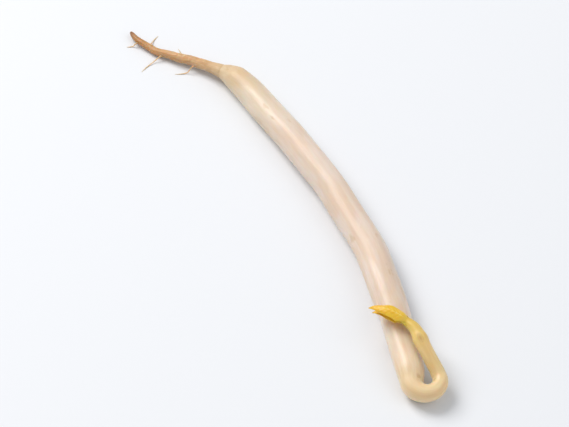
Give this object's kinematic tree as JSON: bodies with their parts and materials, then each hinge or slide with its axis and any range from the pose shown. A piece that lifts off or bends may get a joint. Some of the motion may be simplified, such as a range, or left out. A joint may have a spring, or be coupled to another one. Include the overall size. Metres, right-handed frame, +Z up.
{
  "type": "mung bean sprout",
  "caption": "Fresh mung bean sprout lying on its side: plump white stem with a hooked head, thin tan root and a folded pair of small yellow leaves.",
  "frame": {"origin": "middle of the footprint, on the surface that the sprout rests on", "axes": "+X along the sprout towards its hooked head, +Y towards the side on which the neck comes back, +Z up"},
  "size_m": [0.0642, 0.0282, 0.0059],
  "materials": {
    "stem_white": "moist, translucent white flesh, cream towards the hook",
    "root_tan": "soft tan root, darker at its tip",
    "leaf_yellow": "satin bright yellow young leaf"
  },
  "bodies": {
    "root": {"stem": "stem_white", "taproot": "root_tan", "leaf_upper": "leaf_yellow", "leaf_lower": "leaf_yellow"}
  },
  "joints": []
}
